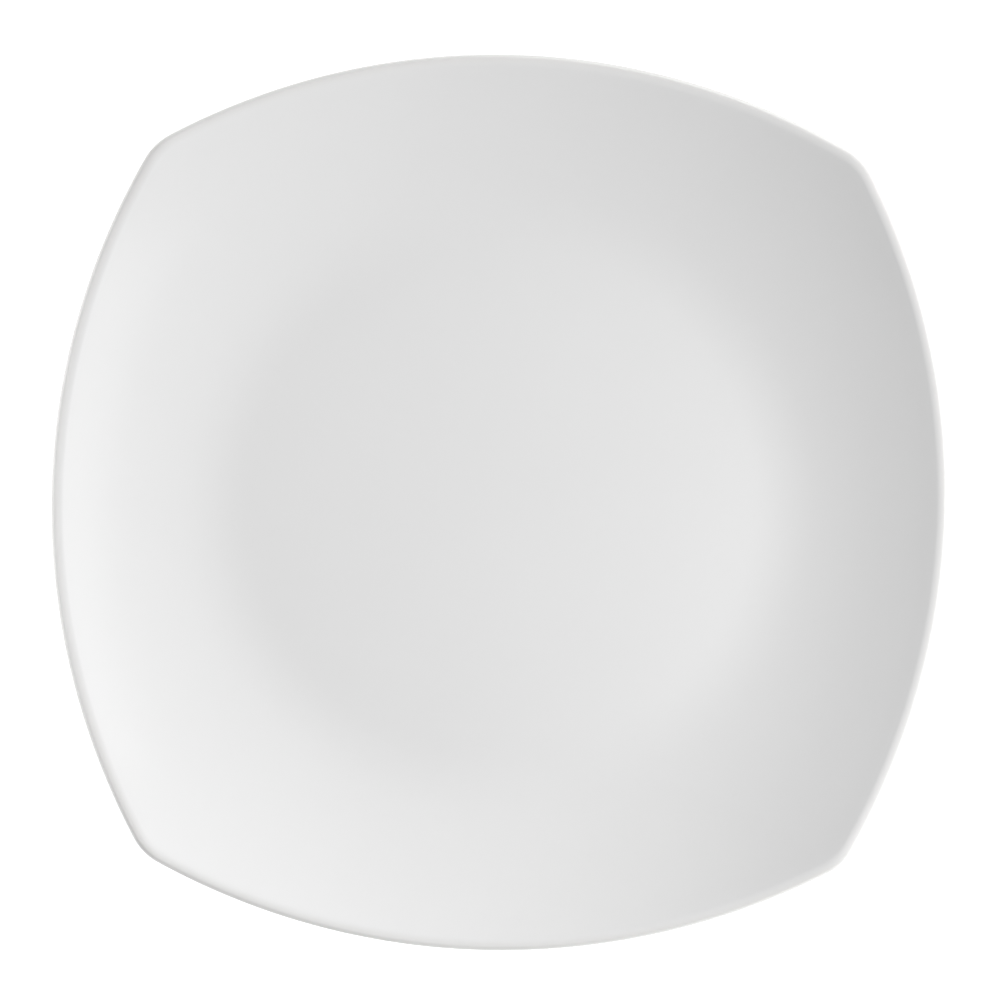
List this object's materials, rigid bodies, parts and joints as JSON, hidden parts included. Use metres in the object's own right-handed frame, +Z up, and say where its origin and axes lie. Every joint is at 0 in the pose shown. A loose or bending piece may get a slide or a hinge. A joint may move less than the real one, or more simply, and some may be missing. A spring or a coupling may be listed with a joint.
{
  "type": "square coupe plate",
  "caption": "Square coupe plate with bowed sides, soft upswept corners and a round dished well for serving food, standing on a foot ring; white glaze over fired clay.",
  "frame": {"origin": "on the table plane, at the middle of the foot ring's bearing face", "axes": "+Z up out of the dish; X and Y run from the middle of the plate to the middles of its bowed sides"},
  "size_m": [0.254, 0.254, 0.027],
  "materials": {
    "white_glaze": "smooth, glossy, opaque white glaze",
    "bare_clay": "bare fired clay, matt and slightly sandy"
  },
  "bodies": {
    "root": {"biscuit_body": "bare_clay", "glaze_coat": "white_glaze", "foot_well_glaze": "white_glaze"}
  },
  "joints": []
}
